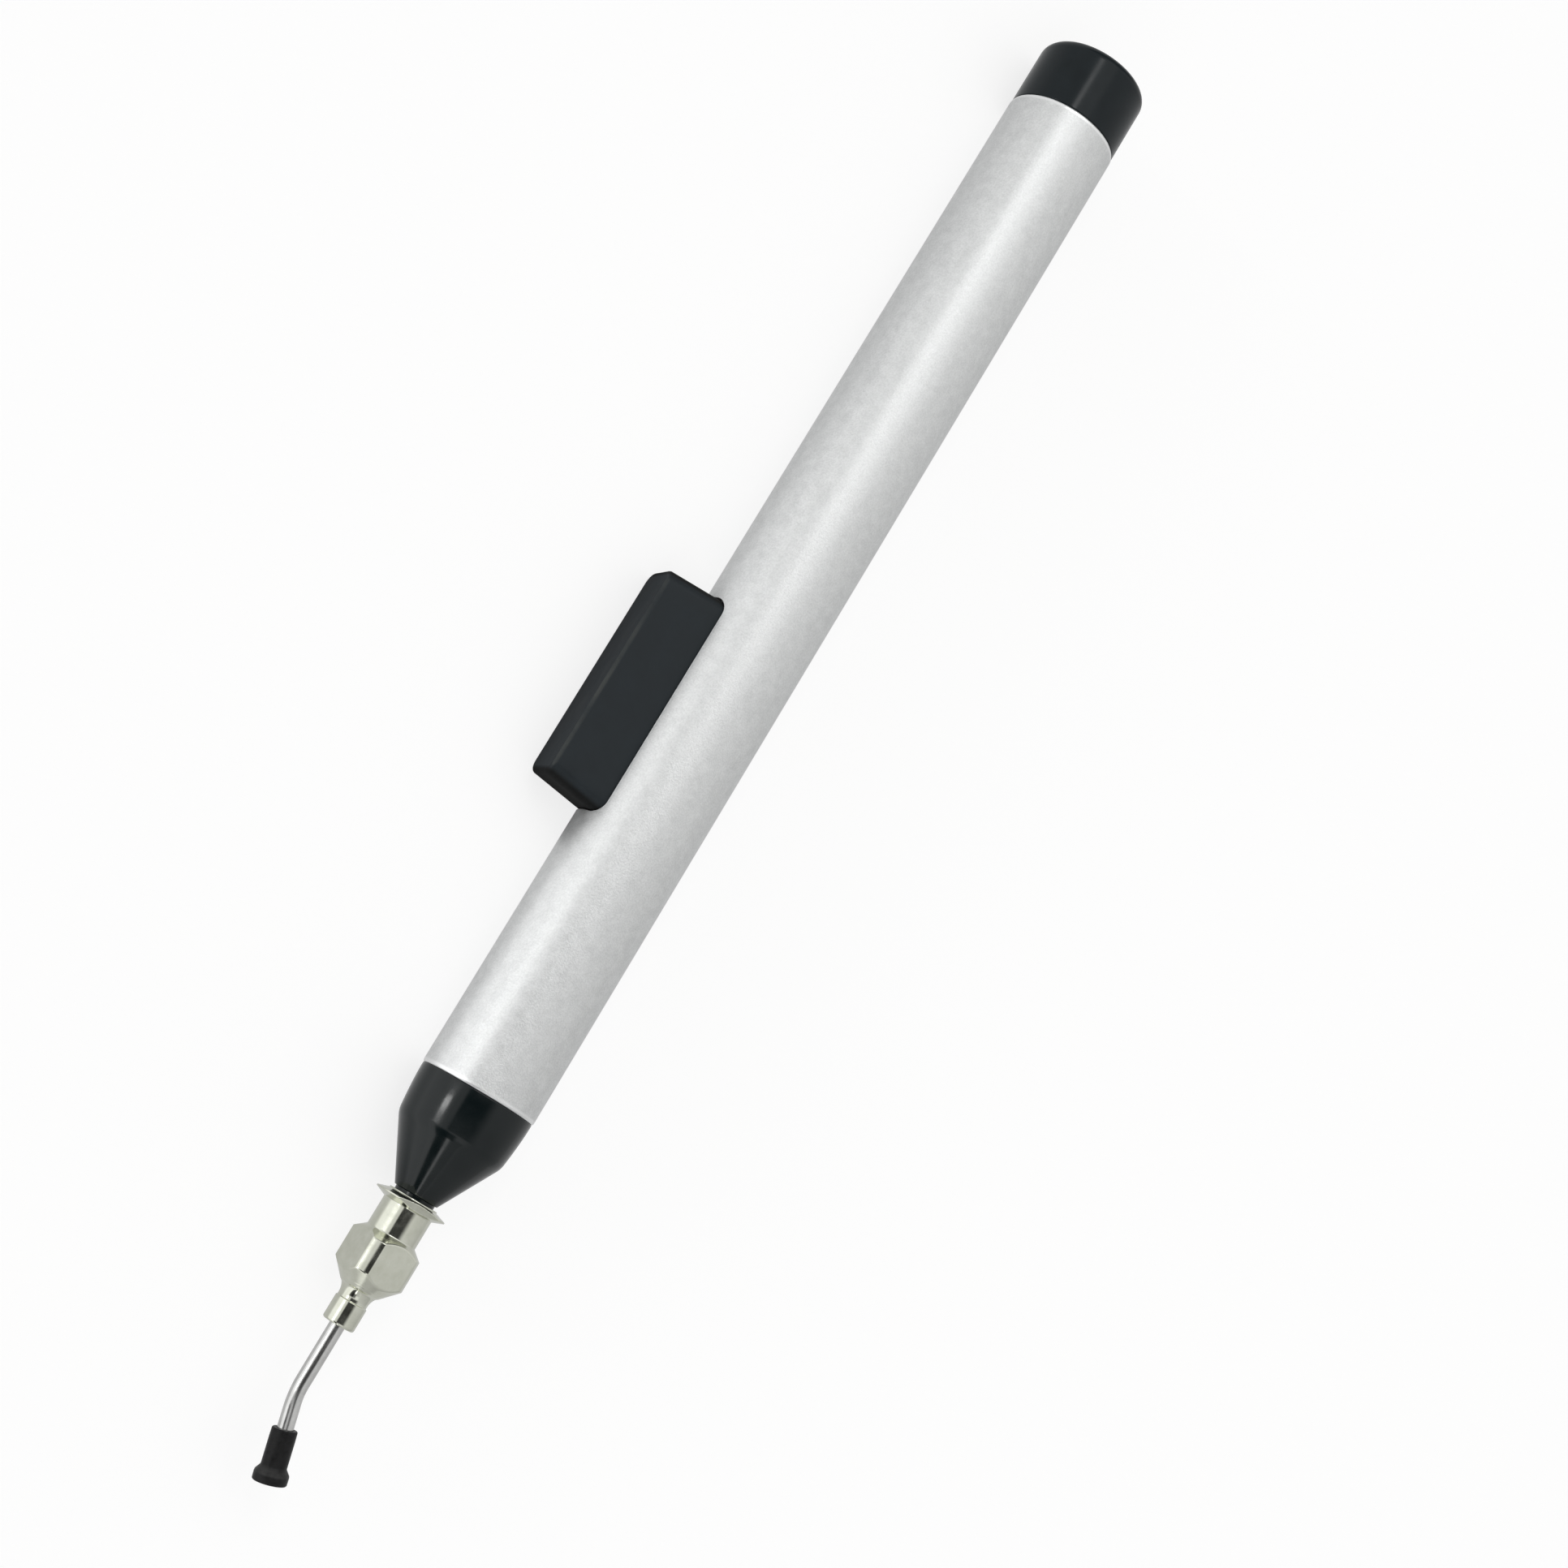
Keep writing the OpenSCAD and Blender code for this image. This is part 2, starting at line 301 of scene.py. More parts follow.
def black_plastic(name, dark, light, rough, grain, strength, shine):
    """Moulded black plastic: faint flow clouds in colour and gloss, and a fine tool grain."""
    m, nt, b = new_material(name)
    v = coords(nt)
    cloud = noise(nt, v, 420, 3.0, 0.55)
    fine = noise(nt, v, grain, 2.0, 0.5)
    nt.links.new(tint(nt, cloud, dark, light), b.inputs["Base Color"])
    nt.links.new(span(nt, cloud, rough - 0.04, rough + 0.05), b.inputs["Roughness"])
    nt.links.new(bump(nt, fine, strength, 0.00003), b.inputs["Normal"])
    b.inputs["Specular IOR Level"].default_value = shine
    return m


def satin_plastic():
    """The button's plastic: a grey satin bloom on its long faces, with painted shade that makes it darker and duller
    towards its two ends, and a painted highlight along its long top edges.
    """
    m, nt, b = new_material("black_satin_plastic")
    v = coords(nt)
    cloud = noise(nt, v, 420, 3.0, 0.55)
    fine = noise(nt, v, 4200, 2.0, 0.5)
    xyz = nt.nodes.new("ShaderNodeSeparateXYZ")
    nt.links.new(v, xyz.inputs[0])
    from_mid = math_node(nt, "ABSOLUTE", math_node(nt, "SUBTRACT", xyz.outputs["X"], (BUTTON_X - MID_X) / 1000))
    # Pen-frame height, and distance from the middle plane.
    up = math_node(nt, "ADD", math_node(nt, "MULTIPLY", xyz.outputs["Y"], CL), math_node(nt, "MULTIPLY", xyz.outputs["Z"], -SL))
    up = math_node(nt, "ADD", up, (MID_Y * CL + BARREL_R * SL) / 1000)
    side = math_node(nt, "ADD", math_node(nt, "MULTIPLY", xyz.outputs["Y"], -SL), math_node(nt, "MULTIPLY", xyz.outputs["Z"], -CL))
    side = math_node(nt, "ABSOLUTE", math_node(nt, "ADD", side, (BARREL_R * CL - MID_Y * SL) / 1000))
    # The ends lean in, so the mask of their painted shade follows the height.
    slope = span(nt, up, 0.0, BUTTON_DRAFT / 1000, 0.006, edge_z / 1000)
    end = span(nt, math_node(nt, "ADD", from_mid, slope), 0.0, 1.0, BUTTON_A / 1000 - 0.00085, BUTTON_A / 1000 - 0.0003, True)
    # A painted highlight along the long top edges: they are drawn a little lighter, broken up by a noise.
    corner = (BUTTON_B + BUTTON_H) / 1000
    painted_edge_highlight = span(nt, math_node(nt, "ADD", side, up), 0.0, 1.0, corner - 0.00046, corner - 0.00031, True)
    painted_edge_highlight = math_node(nt, "MULTIPLY", painted_edge_highlight, span(nt, noise(nt, v, 190, 3.0, 0.6), 0.1, 1.0, 0.36, 0.64))
    # Painted shade: towards the two ends the colour turns a much darker black.
    mix = nt.nodes.new("ShaderNodeMix")
    mix.data_type = "RGBA"
    nt.links.new(end, mix.inputs["Factor"])
    nt.links.new(tint(nt, cloud, (0.0088, 0.0138, 0.0176), (0.0122, 0.0184, 0.0230)), mix.inputs[6])
    nt.links.new(tint(nt, fine, (0.0016, 0.0020, 0.0020), (0.0036, 0.0042, 0.0042)), mix.inputs[7])
    # Mixes in the painted highlight along the long top edges.
    edge_highlight_mix = nt.nodes.new("ShaderNodeMix")
    edge_highlight_mix.data_type = "RGBA"
    nt.links.new(painted_edge_highlight, edge_highlight_mix.inputs["Factor"])
    nt.links.new(mix.outputs[2], edge_highlight_mix.inputs[6])
    edge_highlight_mix.inputs[7].default_value = (0.037, 0.042, 0.041, 1)
    nt.links.new(edge_highlight_mix.outputs[2], b.inputs["Base Color"])
    nt.links.new(math_node(nt, "ADD", span(nt, cloud, 0.40, 0.49), math_node(nt, "MULTIPLY", end, 0.45)), b.inputs["Roughness"])
    nt.links.new(bump(nt, fine, 0.16, 0.00003), b.inputs["Normal"])
    b.inputs["Specular IOR Level"].default_value = 0.3
    return m


def nickel():
    m, nt, b = new_material("nickel_plate")
    v = coords(nt)
    cloud = noise(nt, v, 700, 3.0, 0.6)
    lines = noise(nt, coords(nt, (9000, 260, 260)), 1.0, 3.0, 0.6)
    nt.links.new(tint(nt, cloud, (0.66, 0.672, 0.575), (0.75, 0.762, 0.668)), b.inputs["Base Color"])
    b.inputs["Metallic"].default_value = 1.0
    nt.links.new(span(nt, cloud, 0.08, 0.15), b.inputs["Roughness"])
    nt.links.new(bump(nt, lines, 0.06, 0.00002), b.inputs["Normal"])
    return m


def stainless():
    m, nt, b = new_material("drawn_stainless")
    v = coords(nt)
    cloud = noise(nt, v, 900, 3.0, 0.6)
    lines = noise(nt, coords(nt, (300, 9000, 9000)), 1.0, 2.0, 0.6)
    nt.links.new(tint(nt, cloud, (0.62, 0.62, 0.61), (0.74, 0.74, 0.73)), b.inputs["Base Color"])
    b.inputs["Metallic"].default_value = 1.0
    nt.links.new(span(nt, lines, 0.13, 0.20), b.inputs["Roughness"])
    nt.links.new(bump(nt, lines, 0.05, 0.00002), b.inputs["Normal"])
    return m


def rubber():
    """Black rubber, with painted light that makes it a little greyer where the cup flares out to its lip."""
    m, nt, b = new_material("black_rubber")
    v = coords(nt)
    cloud = noise(nt, v, 1400, 4.0, 0.65)
    fine = noise(nt, v, 9000, 2.0, 0.6)
    base = place([(-cup_at[0], 0, cup_at[1])])[0]
    ahead = (place([(-cup_at[0] - AHEAD[0], 0, cup_at[1] + AHEAD[1])])[0] - base) * 1000
    dot = nt.nodes.new("ShaderNodeVectorMath")
    dot.operation = "DOT_PRODUCT"
    nt.links.new(v, dot.inputs[0])
    dot.inputs[1].default_value = tuple(ahead)
    along = math_node(nt, "SUBTRACT", dot.outputs["Value"], float(base @ ahead))
    flare = span(nt, along, 0.0, 1.0, (CUP_L - 1.75) / 1000, (CUP_L - 1.35) / 1000, True)
    past = span(nt, along, 1.0, 0.12, (CUP_L - 0.95) / 1000, (CUP_L - 0.7) / 1000, True)
    # Painted light on the flared lip: its colour is drawn greyer there.
    painted_lip_light = math_node(nt, "MULTIPLY", math_node(nt, "MULTIPLY", flare, past), span(nt, cloud, 0.4, 1.0))
    mix = nt.nodes.new("ShaderNodeMix")
    mix.data_type = "RGBA"
    nt.links.new(painted_lip_light, mix.inputs["Factor"])
    nt.links.new(tint(nt, cloud, (0.0072, 0.0072, 0.0076), (0.0170, 0.0170, 0.0176)), mix.inputs[6])
    mix.inputs[7].default_value = (0.040, 0.040, 0.040, 1)
    nt.links.new(mix.outputs[2], b.inputs["Base Color"])
    nt.links.new(span(nt, cloud, 0.30, 0.46), b.inputs["Roughness"])
    b.inputs["Specular IOR Level"].default_value = 0.15
    nt.links.new(bump(nt, fine, 0.25, 0.00004, bump(nt, cloud, 0.3, 0.0001)), b.inputs["Normal"])
    return m


def silicone():
    m, nt, b = new_material("translucent_silicone")
    v = coords(nt)
    cloud = noise(nt, v, 260, 3.0, 0.5)
    nt.links.new(tint(nt, cloud, (0.66, 0.63, 0.57), (0.76, 0.73, 0.68)), b.inputs["Base Color"])
    nt.links.new(span(nt, cloud, 0.34, 0.48), b.inputs["Roughness"])
    b.inputs["Subsurface Weight"].default_value = 0.3
    b.inputs["Subsurface Radius"].default_value = (1.0, 0.8, 0.6)
    b.inputs["Subsurface Scale"].default_value = 0.0012
    nt.links.new(bump(nt, noise(nt, v, 3000, 2.0), 0.08, 0.00004), b.inputs["Normal"])
    return m


def nylon():
    m, nt, b = new_material("natural_nylon")
    v = coords(nt)
    cloud = noise(nt, v, 380, 3.0, 0.5)
    nt.links.new(tint(nt, cloud, (0.72, 0.69, 0.61), (0.81, 0.79, 0.73)), b.inputs["Base Color"])
    nt.links.new(span(nt, cloud, 0.38, 0.5), b.inputs["Roughness"])
    nt.links.new(bump(nt, noise(nt, v, 4000, 2.0), 0.1, 0.00004), b.inputs["Normal"])
    return m


def turned_aluminium():
    m, nt, b = new_material("turned_aluminium")
    lines = noise(nt, coords(nt, (12000, 300, 300)), 1.0, 3.0, 0.6)
    nt.links.new(tint(nt, lines, (0.54, 0.55, 0.57), (0.68, 0.69, 0.71)), b.inputs["Base Color"])
    b.inputs["Metallic"].default_value = 1.0
    nt.links.new(span(nt, lines, 0.24, 0.38), b.inputs["Roughness"])
    nt.links.new(bump(nt, lines, 0.15, 0.00003), b.inputs["Normal"])
    return m


ALUMINIUM = blasted_aluminium()
CAP_BLACK = black_plastic("black_cap_plastic", (0.0056, 0.0098, 0.0120), (0.0082, 0.0134, 0.0164), 0.18, 3600, 0.06, 0.22)
GLOSS_BLACK = black_plastic("black_gloss_plastic", (0.0036, 0.0070, 0.0078), (0.0060, 0.0098, 0.0106), 0.12, 2600, 0.05, 0.36)
SATIN_BLACK = satin_plastic()
NICKEL, STEEL, RUBBER = nickel(), stainless(), rubber()
SILICONE, NYLON, RING = silicone(), nylon(), turned_aluminium()


# ---------------------------------------------------------------- barrel


def end_outline(a, b, rc):
    """Half of a rounded rectangle, from (-(a - rc), -b) round the end at -a to (-(a - rc), b)."""
    pts = []
    for i in range(9):
        t = math.pi / 2 * i / 8
        pts.append((-(a - rc) - rc * math.sin(t), -(b - rc) - rc * math.cos(t)))
    pts += [(-a, -(b - rc) + 2 * (b - rc) * i / 12) for i in range(1, 12)]
    for i in range(9):
        t = math.pi / 2 * i / 8
        pts.append((-(a - rc) - rc * math.cos(t), (b - rc) + rc * math.sin(t)))
    return np.array(pts)


def make_barrel():
    """A tube with softened ends and a slot with a broken edge, all in quads."""
    g = Build()
    a, b, rc, e = BUTTON_A + 0.15, BUTTON_B + 0.15, BUTTON_CORNER + 0.15, 0.07
    outer, inner = end_outline(a + e, b + e, rc + e), end_outline(a, b, rc)
    m, n_out, side_x = len(outer) - 1, 108, a - rc
    t_in_o, t_in_i = np.arcsin(outer[:, 1] / BARREL_R), np.arcsin(inner[:, 1] / BORE_R)
    # Extra columns just beside the slot keep the shading true there.
    u = np.concatenate([[0, 0.012], np.linspace(0, 1, n_out - 1)[1:-1], [0.988, 1]])
    t_out_o = t_in_o[-1] + u * (2 * math.pi - 2 * t_in_o[-1])
    t_out_i = t_in_i[-1] + u * (2 * math.pi - 2 * t_in_i[-1])
    t_o, t_i = np.concatenate([t_in_o, t_out_o[1:-1]]), np.concatenate([t_in_i, t_out_i[1:-1]])
    cols = len(t_o)

    def row(xs, r, t):
        return g.add(np.stack([np.broadcast_to(xs, cols), r * np.sin(t), r * np.cos(t)], 1))

    def blend_t(s):
        return t_o + (t_i - t_o) * s

    def half(sign, end_x):
        """The rows from the slot over one end of the tube and back inside to the slot."""
        dx_o = np.concatenate([outer[:, 0], np.full(cols - m - 1, -side_x)])
        dx_i = np.concatenate([inner[:, 0], np.full(cols - m - 1, -side_x)])
        slot_o, slot_i = BUTTON_X + sign * dx_o * -1, BUTTON_X + sign * dx_i * -1
        rows = [row(slot_o, BARREL_R, t_o), row(slot_o + sign * 0.06, BARREL_R, t_o)]
        far = end_x - sign * 0.32
        for s in (0.04, 0.1, 0.2, 0.35, 0.5, 0.65, 0.8, 0.92):
            rows.append(row(slot_o + (far - slot_o) * s, BARREL_R, t_o))
        edge = 0.25
        rows.append(row(far, BARREL_R, t_o))
        for k in range(6):
            q = math.pi / 2 * k / 5
            rows.append(row(end_x - sign * edge * (1 - math.sin(q)), BARREL_R - edge * (1 - math.cos(q)), t_o))
        rows.append(row(end_x, BARREL_R - edge - 0.05, blend_t(0.2)))
        rows.append(row(end_x, BORE_R + 0.13, blend_t(0.8)))
        rows.append(row(end_x, BORE_R + 0.08, t_i))
        rows.append(row(end_x - sign * 0.08, BORE_R, t_i))
        for s in (0.9, 0.6, 0.3, 0.06):
            rows.append(row(slot_i + (end_x - slot_i) * s, BORE_R, t_i))
        rows.append(row(slot_i, BORE_R, t_i))
        for p, q in zip(rows, rows[1:]):
            g.band(p, q)
        return rows

    front, rear = half(-1, 0.0), half(1, BARREL_L)
    outside = list(range(m, cols)) + [0]
    steps = 10

    def middle(first, last, r, t):
        rows = [[first[c] for c in outside]]
        for i in range(1, steps):
            x = BUTTON_X - side_x + 2 * side_x * i / steps
            rows.append(g.add([(x, r * math.sin(t[c]), r * math.cos(t[c])) for c in outside]))
        rows.append([last[c] for c in outside])
        for p, q in zip(rows, rows[1:]):
            g.band(p, q, wrap=False)
        return rows

    mid_o, mid_i = middle(front[0], rear[0], BARREL_R, t_o), middle(front[-1], rear[-1], BORE_R, t_i)
    side = [BUTTON_X - side_x + 2 * side_x * i / steps for i in range(1, steps)]
    plan = [(BUTTON_X + p[0], p[1]) for p in inner] + [(x, b) for x in side]
    plan += [(BUTTON_X - p[0], p[1]) for p in inner[::-1]] + [(x, -b) for x in side[::-1]]

    def loop(ends_a, ends_b, mid):
        return (
            [ends_a[c] for c in range(m + 1)]
            + [r[0] for r in mid[1:-1]]
            + [ends_b[c] for c in range(m, -1, -1)]
            + [r[-1] for r in mid[1:-1]][::-1]
        )

    lip = g.add([(x, y, math.sqrt(BARREL_R**2 - y * y) - e) for x, y in plan])
    g.band(loop(front[0], rear[0], mid_o), lip)
    g.band(lip, loop(front[-1], rear[-1], mid_i))
    return finish_piece(g, "barrel_tube", "barrel", "pen", ALUMINIUM)


# ---------------------------------------------------------------- black plastic parts


def make_cap():
    g = Build()
    e = CAP_END
    lathe(g, split_long(rounded([
        (e, 0), (e, CAP_R, 1.2), (BARREL_L, CAP_R, 0.12), (BARREL_L, BORE_R, 0.05), (113.3, BORE_R, 0.2), (112.8, 5.25, 0.15),
        (112.8, 4.35, 0.2), (e - 1.6, 4.35, 0.4), (e - 1.6, 0)], seg=8), 2.0), 144)
    return finish_piece(g, "rear_cap", "end_cap", "pen", CAP_BLACK)


def make_nose():
    g = Build()
    tip = CONE_END + 7.5
    p = [(tip, 1.0, 0.1), (tip, 1.975, 0.15), (CONE_END, 2.2, 0.06), (CONE_END, 2.4, 0.14), (5.2, 5.87, 2.6),
         (3.6, 6.047), (2.8, 6.12), (2.0, 6.181), (1.2, 6.227), (0.5, 6.248), (0, 6.25, 0.1),
         (0, BORE_R, 0.05), (-8.5, BORE_R, 0.3), (-9, 5.25, 0.1), (-9, 4.75, 0.1), (2, 4.75, 0.2), (2, 3.6, 0.2), (-9, 3.6, 0.1), (-9, 2.9)]
    for i in range(3):
        x = -10.4 - 2.7 * i
        p += [(x, 2.9, 0.1), (x, 3.4, 0.1), (x - 0.4, 3.4, 0.1), (x - 2.4, 2.9)]
    p += [(-18.8, 2.6, 0.2), (-18.8, 1.0, 0.1)]
    lathe(g, [(-x, r) for x, r in split_long(rounded(p, closed=True, seg=6), 1.5)], 144, closed=True)
    return finish_piece(g, "nose", "nose_cone", "pen", GLOSS_BLACK)


def full_outline(inset, z, count=(9, 26, 9)):
    """A closed rounded rectangle of the button at height z, drawn in by inset. The ends lean in above the barrel."""
    lean_in = BUTTON_DRAFT * min(max((z - 6) / (edge_z - 6), 0), 1)
    a, b, rc = BUTTON_A - inset - lean_in, BUTTON_B - inset, max(BUTTON_CORNER - inset, 0.12)
    nc, nx, ny = count
    pts = []
    for cx, cy, t0, k in ((1, 1, 0, nx), (-1, 1, 90, ny), (-1, -1, 180, nx), (1, -1, 270, ny)):
        start = len(pts)
        for i in range(nc + 1):
            t = math.radians(t0 + 90 * i / nc)
            pts.append((cx * (a - rc) + rc * math.cos(t), cy * (b - rc) + rc * math.sin(t)))
        nxt = math.radians(t0 + 90)
        ncx, ncy = (-cx, cy) if t0 in (0, 180) else (cx, -cy)
        q = np.array((ncx * (a - rc) + rc * math.cos(nxt), ncy * (b - rc) + rc * math.sin(nxt)))
        last = np.array(pts[-1])
        pts += [tuple(last + (q - last) * i / k) for i in range(1, k)]
    return np.array(pts)


def make_button():
    g = Build()
    saddle = 5.35

    def at(inset, z):
        p = full_outline(inset, 5.35 if z is None else z)
        zz = np.sqrt(saddle**2 - np.clip(p[:, 1], -saddle, saddle) ** 2) if z is None else np.full(len(p), z)
        return g.add(np.stack([p[:, 0] + BUTTON_X, p[:, 1], zz], 1))

    rows = [at(1.25, BUTTON_H - 1.4), at(1.25, BUTTON_H - 1.7), at(1.25, 8.0), at(1.25, None), at(0.05, None)]
    rows += [at(0.0, z) for z in (5.6, 5.95, 6.0, 6.05, 7.0, 8.0, 9.0, 10.0, 11.0, edge_z - 0.06)]
    for k in range(9):
        q = math.pi / 2 * k / 8
        rows.append(at(BUTTON_EDGE * (1 - math.cos(q)), edge_z + BUTTON_EDGE * math.sin(q)))
    rows += [at(s, BUTTON_H) for s in (BUTTON_EDGE + 0.05, 1.1, 1.8, 2.5)]
    for p, q in zip(rows, rows[1:]):
        g.band(p, q)
    g.f.append(tuple(rows[-1]))
    g.f.append(tuple(rows[0][::-1]))
    # The two stakes under the button.
    for x in (-7, 7):
        prof = rounded([(4.65, 0), (4.65, 0.98, 0.15), (BUTTON_H - 1.2, 0.98), (BUTTON_H - 1.2, 0)], seg=4)
        k = Build()
        lathe(k, prof, 32)
        first = len(g.v)
        g.add([(BUTTON_X + x + v[1], v[2], v[0]) for v in k.v])
        g.f += [tuple(i + first for i in f) for f in k.f]
    return finish_piece(g, "press_button", "button", "push_button", SATIN_BLACK)


# ---------------------------------------------------------------- needle


def smin(a, b, k):
    h = np.maximum(k - np.abs(a - b), 0) / k
    return np.minimum(a, b) - h * h * k / 4


def smax(a, b, k):
    return -smin(-a, -b, k)


def make_hub():
    """Turned hub as one skin: at each station its radius is the largest of the turned core, the square with turned corners and
    the two lock lugs, with small blends between them."""
    g = Build()
    h, n = HUB, 360
    core = [(h, 2.0), (h, 2.68, 0.1), (h + 6.1, 2.68, 0.1), (h + 6.2, 2.55, 0.05), (h + 9.4, 2.55, 0.3)]
    core += [(h + 11.2 - 1.75 * math.sin(math.radians(a)), 1.6 + 1.75 * (1 - math.cos(math.radians(a)))) for a in range(58, -1, -4)]
    core += [(h + 11.42, 1.6, 0.05), (h + 11.5, 1.72, 0.06), (h + 14, 1.72, 0.34), (h + 14, 1.2)]
    core = np.array(rounded(core, seg=6, lead=0.03))
    core = core[1:-1]
    turn = np.array([(h + 3.2, 1.3), (h + 3.75, 2.15), (h + 5.05, 3.75), (h + 8.35, 3.75), (h + 10.03, 2.15), (h + 10.6, 1.3)])
    flange = np.array([(h - 0.02, 2.18), (h + 0.5, 3.8), (h + 0.55, 3.85), (h + 0.65, 3.85), (h + 1.32, 2.18), (h + 1.9, 1.3)])
    stations = list(core[:, 0])
    for lo, hi, step in ((h + 0.1, h + 1.6, 0.04), (h + 1.6, h + 3.9, 0.25), (h + 3.9, h + 5.4, 0.06), (h + 5.4, h + 8.0, 0.22),
                         (h + 8.0, h + 10.1, 0.06), (h + 10.1, h + 11.4, 0.1), (h + 11.6, h + 13.6, 0.25)):
        stations += list(np.arange(lo, hi, step))
    xs, last = [], -1e9
    for x in sorted(stations):
        if x - last > 0.006:
            xs.append(x)
            last = x
    t = np.arange(n) * 2 * math.pi / n
    sq = t + HUB_TURN
    flat = 3.1 / np.maximum(np.abs(np.cos(sq)), np.abs(np.sin(sq)))
    lug = 3.02 / np.maximum(np.abs(np.cos(t + LUG_TURN)), 1e-3)
    ring_rows = []
    order = np.argsort(core[:, 0], kind="stable")
    cx, cr = core[order, 0], core[order, 1]
    for x in xs:
        r0 = np.interp(x, cx, cr)
        r = np.full(n, r0)
        r = smax(r, smin(flat, np.full(n, np.interp(x, turn[:, 0], turn[:, 1])), 0.10), 0.06)
        if x < h + 2.2:
            r = smax(r, smin(lug, np.full(n, np.interp(x, flange[:, 0], flange[:, 1])), 0.06), 0.08)
        ring_rows.append(g.add(np.stack([np.full(n, -x), r * np.sin(t), r * np.cos(t)], 1)))
    inner = [(h + 14, 1.2), (h + 14, TUBE_R + 0.06), (h + 13.94, TUBE_R + 0.006), (h + 10, TUBE_R + 0.006), (h + 7.55, TUBE_R + 0.006),
             (h + 7.55, 1.95), (h + 7.5, 2.005), (h + 4, 2.108), (h + 0.2, 2.223), (h + 0.02, 2.40), (h, 2.44)]
    for x, r in inner:
        ring_rows.append(g.add([(-x, r * math.sin(a), r * math.cos(a)) for a in t]))
    for a, b in zip(ring_rows, ring_rows[1:] + ring_rows[:1]):
        g.band(a, b)
    return finish_piece(g, "hub", "needle_hub", "needle", NICKEL, sharp=50)


def tube_station(s):
    """Point and direction (x forward, z) on the tube's axis, s from the start of the bend."""
    arc_l = BEND_R * BEND_A
    if s <= 0:
        return np.array([BEND_X + s, 0.0]), np.array([1.0, 0.0])
    if s <= arc_l:
        q = s / BEND_R
        return np.array([BEND_X + BEND_R * math.sin(q), -BEND_R * (1 - math.cos(q))]), np.array([math.cos(q), -math.sin(q)])
    return bend_end + (s - arc_l) * AHEAD, AHEAD


def make_tube():
    g = Build()
    arc_l = BEND_R * BEND_A
    start = -(BEND_X - (HUB + 7.65))
    stops = list(np.linspace(start, -0.3, 16)) + list(np.linspace(0, arc_l, 16)) + list(np.linspace(arc_l + 0.3, arc_l + TAIL, 8))
    n = 56
    t = np.arange(n) * 2 * math.pi / n

    def loop_at(s, r):
        c, d = tube_station(s)
        up = np.array([-d[1], d[0]])
        # A bent tube is a little flattened in its bend.
        k = 0.0
        if -0.5 < s < arc_l + 0.5:
            k = 0.035 * math.sin(math.pi * (s + 0.5) / (arc_l + 1.0)) ** 2
        u, w = r * np.cos(t) * (1 - k), r * np.sin(t)
        return g.add(np.stack([-(c[0] + up[0] * u), w, c[1] + up[1] * u], 1))

    e = 0.05
    rows = [loop_at(stops[0], TUBE_BORE + e), loop_at(stops[0], TUBE_R - e)]
    rows += [loop_at(stops[0] + e, TUBE_R)] + [loop_at(s, TUBE_R) for s in stops[1:-1]] + [loop_at(stops[-1] - e, TUBE_R)]
    rows += [loop_at(stops[-1], TUBE_R - e), loop_at(stops[-1], TUBE_BORE + e)]
    rows += [loop_at(s, TUBE_BORE) for s in stops[-2:0:-1]]
    for a, b in zip(rows, rows[1:] + rows[:1]):
        g.band(a, b)
    return finish_piece(g, "needle", "needle_tube", "needle", STEEL)


def make_cup():
    """Moulded cup: sleeve, waist, flared lip with a hollow face."""
    g = Build()
    s, l, c = 1.3, LIP_R, CUP_L
    p = [(0, TUBE_R + 0.005, 0.05), (0, s - 0.02, 0.14), (0.9, s), (c - 1.56, s, 0.35), (c - 1.0, l - 0.04, 0.18),
         (c - 0.78, l, 0.3), (c - 0.1, l - 0.015, 0.12), (c, l - 0.1, 0.05), (c, l - 0.36, 0.06), (c - 1.0, 0.75, 0.3), (c - 1.3, 0.55, 0.2), (TAIL - 2.3, 0.55, 0.05),
         (TAIL - 2.3, TUBE_R + 0.005, 0.05)]
    lathe(g, split_long(rounded(p, closed=True, seg=5, lead=0.03), 0.35), 96, closed=True)

    def to_row(v):
        v = np.asarray(v, float)
        f = cup_at[0] + v[:, 0] * AHEAD[0] + v[:, 2] * -AHEAD[1]
        z = cup_at[1] + v[:, 0] * AHEAD[1] + v[:, 2] * AHEAD[0]
        return place(np.stack([-f, v[:, 1], z], 1))

    return finish_piece(g, "cup", "suction_cup", "needle", RUBBER, to_row=to_row)


# ---------------------------------------------------------------- bladder


def make_bladder():
    """Soft tube inside the barrel. Its upper side follows the button, fading out towards both held ends."""
    g = Build()
    ro, ri, x0, x1 = 4.43, 3.42, 9.22, 78.18
    p = [(x0, ri, 0.1), (x0, ro - 0.02, 0.25), (x0 + 2.0, ro - 0.02), (x0 + 6.4, ro - 0.02), (x0 + 7.4, ro, 0.8), (x1 - 7.6, ro, 0.8), (x1 - 6.6, ro - 0.02),
         (x1, ro - 0.02, 0.25), (x1, ri, 0.1)]
    lathe(g, split_long(rounded(p, closed=True, seg=4), 1.0), 96, closed=True)
    o = finish_piece(g, "squeeze_bladder", "bladder", None, SILICONE)
    low, high = place([(0, 0, -4.45)])[0], place([(0, 0, 4.45)])[0]
    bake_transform(o, "pen", "push_button", start=tuple(low), end=tuple(high))
    data = o.data.attributes["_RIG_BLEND"].data
    w = np.zeros(len(data), np.float32)
    data.foreach_get("value", w)
    x = np.array([q[0] for q in g.v])
    for a, b in ((19.2, 28.2), (67.8, 56.4)):
        k = np.clip((x - a) / (b - a), 0, 1)
        w *= (k * k * (3 - 2 * k)).astype(np.float32)
    data.foreach_set("value", w)
    return o


